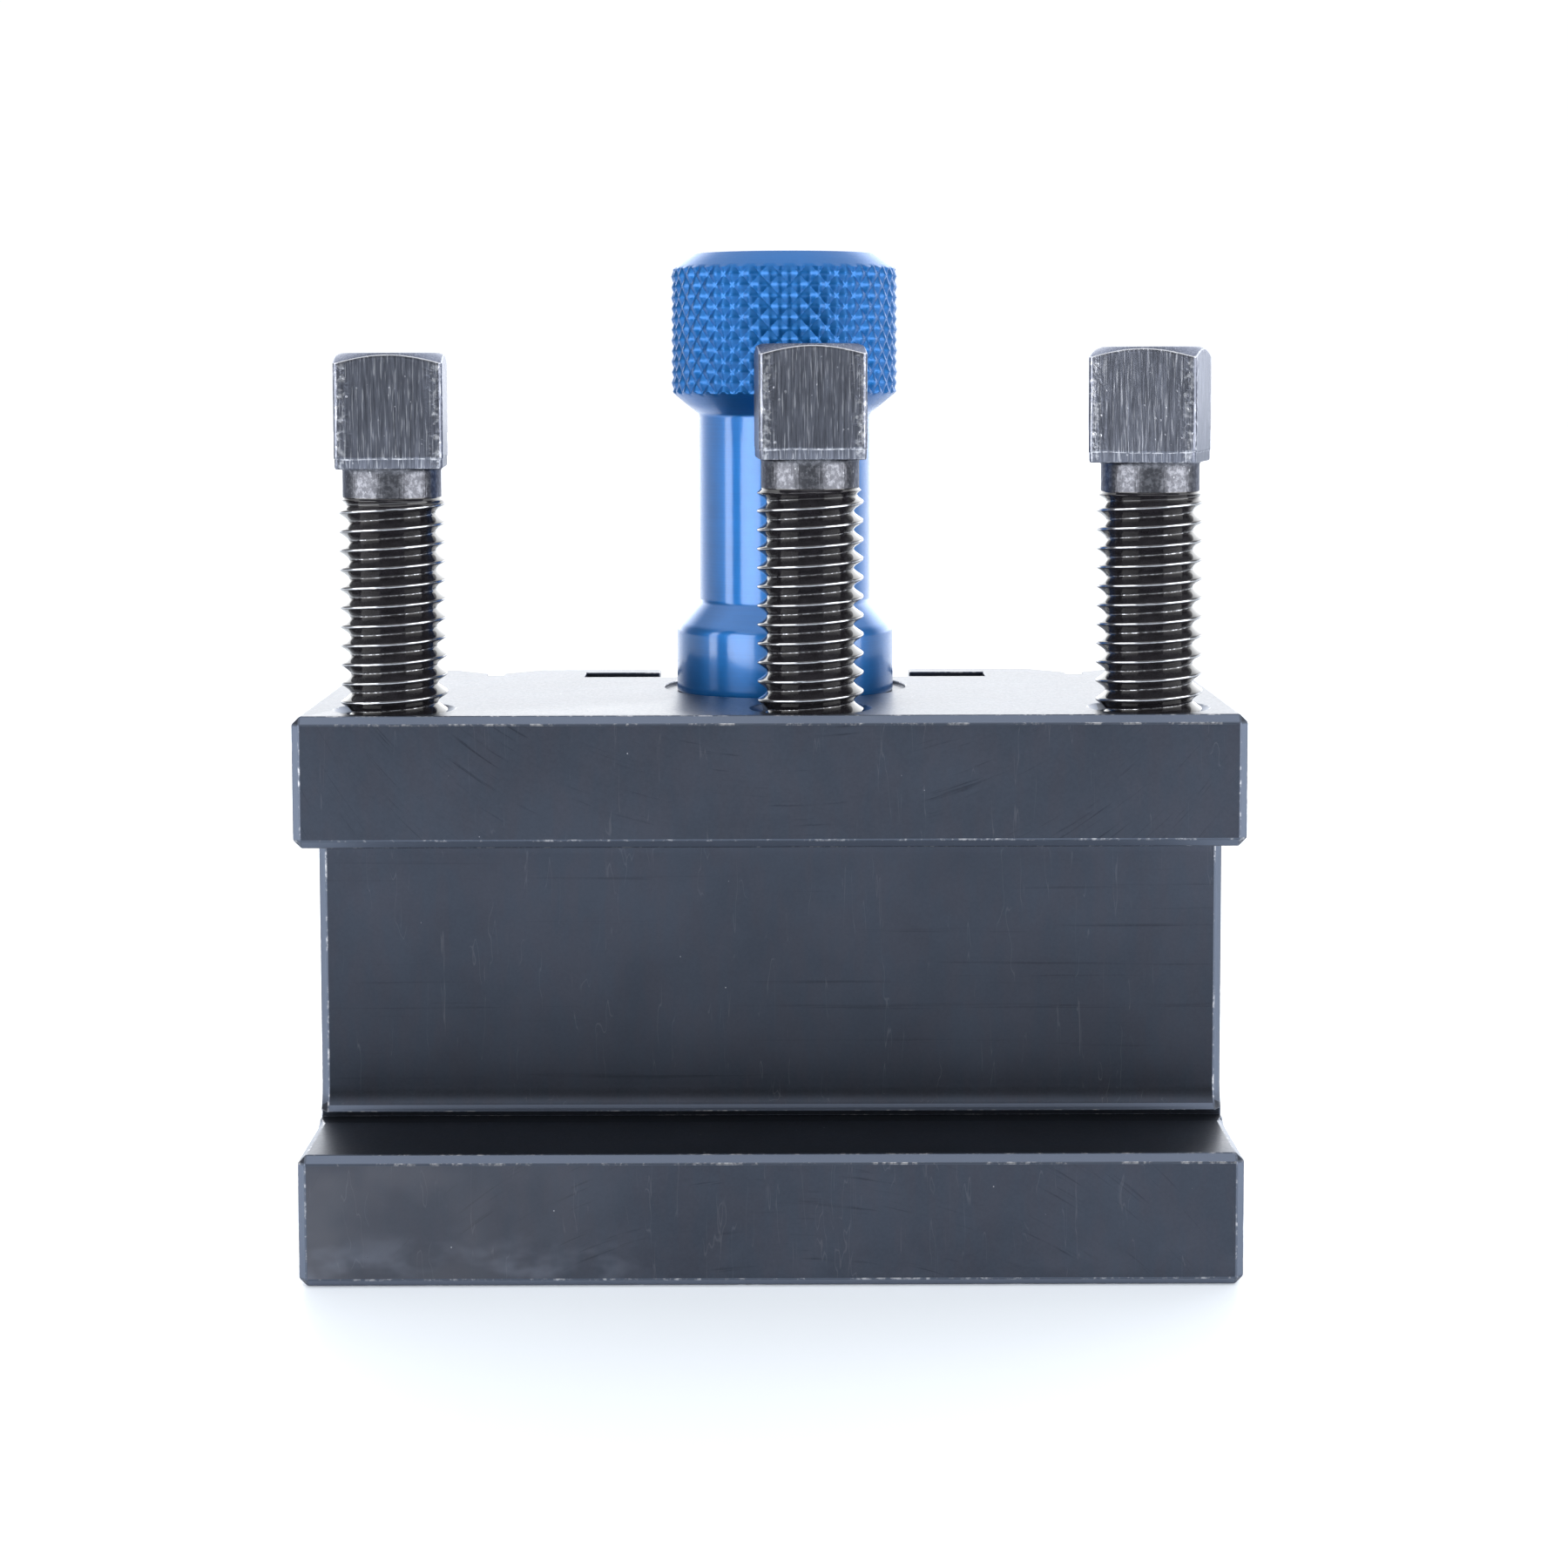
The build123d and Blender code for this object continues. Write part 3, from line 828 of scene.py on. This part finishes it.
    # Upright corners are rubbed by their nearness to a corner's middle, up to the bevel's seven rows.
    # The bright bands are wear, and partly a painted highlight of the light that the rounded corners catch.
    along = np.arange(around) % per_side
    to_corner = np.minimum(along, per_side - along)
    corner_wear_and_highlight = np.interp(to_corner, [0, 4, 5, 6, 7], [0.42, 0.58, 0.52, 0.2, 0.0])
    head_wear_and_highlight = np.tile(np.array(head_edge)[:, None], around)
    head_wear_and_highlight[:-7] = np.maximum(head_wear_and_highlight[:-7], corner_wear_and_highlight)

    middles = [[*axis, point_z], [*axis, top_z]]
    points = np.concatenate([round_part.reshape(-1, 3), head.reshape(-1, 3), middles])
    wear = np.concatenate([round_wear_and_highlight.ravel(), head_wear_and_highlight.ravel(), [0.0, 0.1]])
    base = len(round_part) * columns
    top_ring = base + (len(head) - 1) * around
    parts = [
        band(0, len(round_part), columns),
        cap(len(points) - 2, 0, columns, False),
        doubling(base - columns, base, columns),
        band(base, len(head), around),
        cap(len(points) - 1, top_ring, around, True),
    ]
    triangles = np.concatenate(parts)
    # The thread's finish ends a little below the neck's plain rings.
    neck_row = len(round_part) - 6
    slots = (points[triangles][:, :, 2].mean(1) < round_part[neck_row, 0, 2] - 0.25).astype(int)
    neck_mark = (np.arange(len(points)) < base).astype(float)
    return points, triangles, {"wear": wear, "neck": neck_mark}, slots


# Each screw's body, the turn of its head in degrees, the height of one crest at its front, and its seed.
SCREWS = {
    "clamp_screw_left": ("left_screw", 3.5, 50.457, 11),
    "clamp_screw_middle": ("middle_screw", 3.1, 50.504, 23),
    "clamp_screw_right": ("right_screw", -16.0, 50.50, 37),
}


def make_screws(sizes, finishes):
    """The three clamp screws, each with its own turn, height of crest and nicks."""
    head, thread = head_steel(finishes), thread_steel(finishes)
    for node, (body, turn_deg, crest_mm, seed) in SCREWS.items():
        piece = new_piece("threaded_" + body, *screw_shape(node, turn_deg, crest_mm, sizes, seed))
        piece.data.materials.append(head)
        piece.data.materials.append(thread)
        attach(piece, body)
        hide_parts(node)


def make_stud(sizes, finishes):
    """The stud as rings round its axis: its radius less the thread's groove, inside its end bevels."""
    low, high = (np.array(corner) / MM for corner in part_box("height_stud"))
    axis = (low[:2] + high[:2]) / 2
    outer = (high[0] - low[0]) / 2
    columns, crest, end_bevel = 24, 0.12, 0.6
    pitch, depth = sizes.stud_pitch / MM, sizes.stud_depth / MM
    angle = 2 * pi * np.arange(columns) / columns
    step = pitch / columns
    z = np.arange(low[2] + 0.04, high[2] - 0.02, step)[:, None]
    phase = (z - low[2]) / pitch - angle[None, :] / (2 * pi)
    groove = thread_groove(phase, pitch, depth, crest)
    bevel = outer - end_bevel + np.minimum(z - low[2], high[2] - z)
    radius = np.minimum(outer - groove, bevel)
    body = rings(radius, z, angle[None, :], axis)
    under = turned([(outer - 0.7, low[2])], angle, axis)
    over = turned([(outer - 0.7, high[2])], angle, axis)
    grid = np.concatenate([under, body, over])
    thread_lines = np.clip(1 - groove / crest, 0, 1)
    wear = np.concatenate([np.zeros((1, columns)), thread_lines, np.full((1, columns), 0.4)])
    points = np.concatenate([grid.reshape(-1, 3), [[*axis, low[2]], [*axis, high[2]]]])
    wear = np.concatenate([wear.ravel(), [0.0, 0.3]])
    triangles = np.concatenate(
        [
            band(0, len(grid), columns),
            cap(len(points) - 2, 0, columns, False),
            cap(len(points) - 1, (len(grid) - 1) * columns, columns, True),
        ]
    )
    piece = new_piece("threaded_stud", points, triangles, {"wear": wear})
    piece.data.materials.append(stud_steel(finishes))
    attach(piece, "holder")
    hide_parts("height_stud")


def make_nut(sizes, finishes):
    """The height nut: a turned profile whose grip carries a diamond knurl.

    With u = n angle / 2 pi + z / H and v = n angle / 2 pi - z / H, the pyramids' tips lie where both are
    whole numbers, and du and dv are the distances to them. Each pyramid has the radius
    R - 2 depth max(du, dv). The maximum is softened, more so near the tip, the grooves' floors are a little
    flat, and the bevels above and below cut the pyramids off.
    """
    low, high = (np.array(corner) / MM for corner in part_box("height_nut"))
    axis = (low[:2] + high[:2]) / 2
    seat, top = low[2], high[2]
    grip, depth = sizes.grip_diameter / MM / 2, sizes.knurl_depth / MM
    count, per = sizes.knurl_count, 12
    columns = count * per
    angle = FRONT + radians(sizes.knurl_turn) + 2 * pi * np.arange(columns) / columns
    bore, flange = sizes.bore_diameter / MM / 2, sizes.flange_diameter / MM / 2
    neck = sizes.neck_diameter / MM / 2
    shoulder_z = seat + sizes.flange_height / MM
    neck_z = shoulder_z + sizes.shoulder_height / MM
    underside_z = neck_z + sizes.neck_length / MM
    grip_z = underside_z + sizes.grip_foot / MM
    bevel_z = grip_z + sizes.grip_height / MM
    bevel_circle = sizes.top_circle / MM / 2
    slope_under = (grip - neck) / (grip_z - underside_z)
    slope_top = (grip - bevel_circle) / (top - bevel_z)
    step = sizes.knurl_height / MM / per
    first = int(1.25 / step)
    last = int(np.ceil((bevel_z + 0.45 - underside_z) / step))
    z = underside_z + step * np.arange(first, last + 1)[:, None]
    below = rounded_profile(
        [
            (bore, seat + 0.5, 0.0),
            (bore + 0.5, seat, 0.0),
            (flange - 0.6, seat, 0.0),
            (flange, seat, 0.18),
            (flange, shoulder_z, 1.2),
            (neck, neck_z, 0.5),
            (neck, underside_z, 0.4),
            (neck + (z[0, 0] - step - underside_z) * slope_under, z[0, 0] - step, 0.0),
        ]
    )
    u = (np.arange(columns)[None, :] + np.arange(first, last + 1)[:, None]) / per
    v = (np.arange(columns)[None, :] - np.arange(first, last + 1)[:, None]) / per
    du, dv = np.abs((u + 0.5) % 1 - 0.5), np.abs((v + 0.5) % 1 - 0.5)
    soft = 0.05 + 0.16 * (1 - 2 * np.maximum(du, dv))
    away = (du + dv + np.sqrt((du - dv) ** 2 + soft**2)) / 2
    groove_floor = 0.97
    knurled = grip - np.minimum(2 * away, groove_floor) * depth
    limit = np.minimum(grip - (z - bevel_z) * slope_top, grip - (grip_z - z) * slope_under)
    cut = limit < knurled
    radius = np.minimum(knurled, limit)
    above = rounded_profile(
        [
            (grip - (z[-1, 0] + step - bevel_z) * slope_top, z[-1, 0] + step, 0.0),
            (bevel_circle, top, 0.1),
            (bore + 0.5, top, 0.0),
            (bore, top - 0.5, 0.0),
            (bore, top - 2.2, 0.0),
            (bore, (top + seat) / 2, 0.0),
        ],
        3,
    )
    knurl_rings = rings(radius, z, angle[None, :], axis)
    grid = np.concatenate([turned(below, angle, axis), knurl_rings, turned(above, angle, axis)])
    tip = np.clip((0.3 - away) / 0.3, 0, 1)
    valley = np.clip((away - 0.44) / 0.06, 0, 1)
    wear, knurl = np.zeros(grid.shape[:2]), np.zeros(grid.shape[:2])
    knurl[len(below) - 1 : -len(above) + 2] = 1
    wear[len(below) : len(below) + len(z)] = np.where(cut, 0.0, np.maximum(tip, 0.6 * valley))
    # Each quarter of a diamond has one groove across it, and its cells are cut along that groove.
    rising = np.ones((len(grid) - 1, columns), bool)
    row, column = np.meshgrid(np.arange(first, last), np.arange(columns), indexing="ij")
    quarter = (column // (per // 2) + row // (per // 2)) % 2
    rising[len(below) : len(below) + len(z) - 1] = quarter == 1
    last_row = (len(grid) - 1) * columns
    here = np.arange(columns)
    after = (here + 1) % columns
    triangles = np.concatenate(
        [
            band(0, len(grid), columns, rising),
            np.stack([last_row + here, last_row + after, after], -1),
            np.stack([last_row + here, after, here], -1),
        ]
    )
    marks = {"wear": wear.ravel(), "knurl": knurl.ravel()}
    piece = new_piece("knurled_nut", grid.reshape(-1, 3), triangles, marks, sharp_deg=30.0)
    piece.data.materials.append(blue_anodise(finishes))
    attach(piece, "nut")
    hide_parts("height_nut")


# ---- Stage


def make_floor(stage):
    """A pale floor, large enough to run out of sight, that meets the backdrop unseen."""
    half = 3.0
    corners = np.array([(-half, -half, 0), (half, -half, 0), (half, half, 0), (-half, half, 0)]) / MM
    floor = new_piece("floor", corners, np.array([(0, 1, 2), (0, 2, 3)]))
    finish, tree, shader = new_finish("Pale floor")
    cloud = noise(tree, millimetres(tree), 0.01, 2.0)
    base = blend(tree, cloud, [c * 0.985 for c in stage.floor_white], stage.floor_white)
    glow = (0.9, 0.96, 1.0, 1.0)
    feed(tree, shader, Base_Color=base, Roughness=0.4, Emission_Color=glow, Emission_Strength=0.12)
    floor.data.materials.append(finish)


def make_space(stage):
    """The space round the object: bright behind and overhead, dim round the camera, and white where seen.

    Brightness follows the direction (x, y, z): y with a little x is how far behind, and z how far overhead.
    """
    seen_white = 1.05
    world = bpy.data.worlds.new("Studio space")
    bpy.context.scene.world = world
    world.use_nodes = True
    tree = world.node_tree
    tree.nodes.clear()
    way = split(tree, put(tree, "TexCoord").outputs["Generated"])
    behind = calc(tree, "MULTIPLY_ADD", way[0], 0.15, way[1])
    high = ramp(tree, way[2], 0.4, 0.8, stage.backdrop, stage.backdrop * 0.45)
    bright = ramp(tree, behind, 0.45, 0.88, stage.camera_side, high)
    bright = calc(tree, "MAXIMUM", bright, ramp(tree, way[2], 0.38, 0.85, stage.camera_side, stage.overhead))
    seen = put(tree, "LightPath").outputs["Is Camera Ray"]
    strength = put(tree, "Mix", {"data_type": "FLOAT"}, i0=seen, i2=bright, i3=seen_white).outputs[0]
    glow = put(tree, "Background", Color=(0.97, 0.985, 1.0, 1.0), Strength=strength)
    tree.links.new(glow.outputs[0], tree.nodes.new("ShaderNodeOutputWorld").inputs["Surface"])


def make_softbox(name, azimuth_deg, centre_z, brightness):
    """A wide soft light aimed level at the object, its azimuth measured from the camera's side."""
    width, height, distance = 0.37, 0.22, 0.36
    light = bpy.data.lights.new(name, "AREA")
    light.shape = "RECTANGLE"
    light.size, light.size_y = width, height
    light.energy = brightness * pi * width * height
    box = bpy.data.objects.new(name, light)
    a = radians(azimuth_deg)
    box.location = (distance * sin(a), -distance * cos(a), centre_z)
    box.rotation_euler = (pi / 2, 0.0, a)
    box.visible_camera = False
    bpy.context.scene.collection.objects.link(box)


def make_camera(stage):
    """At the height of the screws' heads, 4.3 degrees down, and shifted a little to frame the floor."""
    downward, roll = 0.0752, 0.0028
    data = bpy.data.cameras.new("camera")
    data.lens, data.sensor_width = stage.lens, 36.0
    data.shift_x, data.shift_y = 0.00515, -0.12
    data.clip_start, data.clip_end = 0.01, 20.0
    camera = bpy.data.objects.new("camera", data)
    camera.location = (0.000539, -0.2373733, 0.0678509)
    camera.rotation_euler = (pi / 2 - downward, roll, 0.0)
    bpy.context.scene.collection.objects.link(camera)
    bpy.context.scene.camera = camera


def make_stage(stage):
    """The floor, the space, two softboxes a side and the camera."""
    make_floor(stage)
    make_space(stage)
    for side, name in ((-1, "left"), (1, "right")):
        make_softbox(f"softbox_{name}", side * 60.0, 0.11, stage.softbox)
        make_softbox(f"high_softbox_{name}", side * 60.0, 0.33, stage.softbox * 0.15)
    make_camera(stage)
    bpy.context.scene.view_settings.view_transform = "Standard"


# ---- Operators, panel and run


class TOOLHOLDER_OT_block(bpy.types.Operator):
    """Dress the steel block"""

    bl_idname = "toolholder.block"
    bl_label = "Steel Block"

    def execute(self, context):
        make_block(context.scene.holder_finishes)
        return {"FINISHED"}


class TOOLHOLDER_OT_clamp_screws(bpy.types.Operator):
    """Make the three threaded clamp screws"""

    bl_idname = "toolholder.clamp_screws"
    bl_label = "Clamp Screws"

    def execute(self, context):
        make_screws(context.scene.holder_screws, context.scene.holder_finishes)
        return {"FINISHED"}


class TOOLHOLDER_OT_height_stud(bpy.types.Operator):
    """Make the threaded stud that carries the height nut"""

    bl_idname = "toolholder.height_stud"
    bl_label = "Height Stud"

    def execute(self, context):
        make_stud(context.scene.holder_nut, context.scene.holder_finishes)
        return {"FINISHED"}


class TOOLHOLDER_OT_height_nut(bpy.types.Operator):
    """Make the knurled height nut"""

    bl_idname = "toolholder.height_nut"
    bl_label = "Height Nut"

    def execute(self, context):
        make_nut(context.scene.holder_nut, context.scene.holder_finishes)
        return {"FINISHED"}


class TOOLHOLDER_OT_stage(bpy.types.Operator):
    """Set up the floor, the light and the camera"""

    bl_idname = "toolholder.stage"
    bl_label = "Stage"

    def execute(self, context):
        make_stage(context.scene.holder_stage)
        return {"FINISHED"}


OPERATORS = (
    TOOLHOLDER_OT_block,
    TOOLHOLDER_OT_clamp_screws,
    TOOLHOLDER_OT_height_stud,
    TOOLHOLDER_OT_height_nut,
    TOOLHOLDER_OT_stage,
)
GROUPS = {
    "holder_screws": ToolHolderScrewSizes,
    "holder_nut": ToolHolderNutSizes,
    "holder_finishes": ToolHolderFinishes,
    "holder_stage": ToolHolderStage,
}


class TOOLHOLDER_PT_panel(bpy.types.Panel):
    """Sizes, colours and buttons for the tool holder"""

    bl_label = "Tool Holder"
    bl_idname = "TOOLHOLDER_PT_panel"
    bl_space_type = "VIEW_3D"
    bl_region_type = "UI"
    bl_category = "Tool Holder"

    def draw(self, context):
        for name, group_class in GROUPS.items():
            box = self.layout.box()
            for key in group_class.__annotations__:
                box.prop(getattr(context.scene, name), key)
        for operator in OPERATORS:
            self.layout.operator(operator.bl_idname)


def register():
    """Registers the classes and hangs the settings on the scene."""
    for cls in (*GROUPS.values(), *OPERATORS, TOOLHOLDER_PT_panel):
        bpy.utils.register_class(cls)
    for key, cls in GROUPS.items():
        setattr(bpy.types.Scene, key, bpy.props.PointerProperty(type=cls))


def unregister():
    """Takes the settings and the classes away again."""
    for key in GROUPS:
        delattr(bpy.types.Scene, key)
    for cls in reversed((*GROUPS.values(), *OPERATORS, TOOLHOLDER_PT_panel)):
        bpy.utils.unregister_class(cls)


def main():
    """Makes every piece and the stage."""
    register()
    bpy.ops.toolholder.block()
    bpy.ops.toolholder.clamp_screws()
    bpy.ops.toolholder.height_stud()
    bpy.ops.toolholder.height_nut()
    bpy.ops.toolholder.stage()


if __name__ == "__main__":
    main()
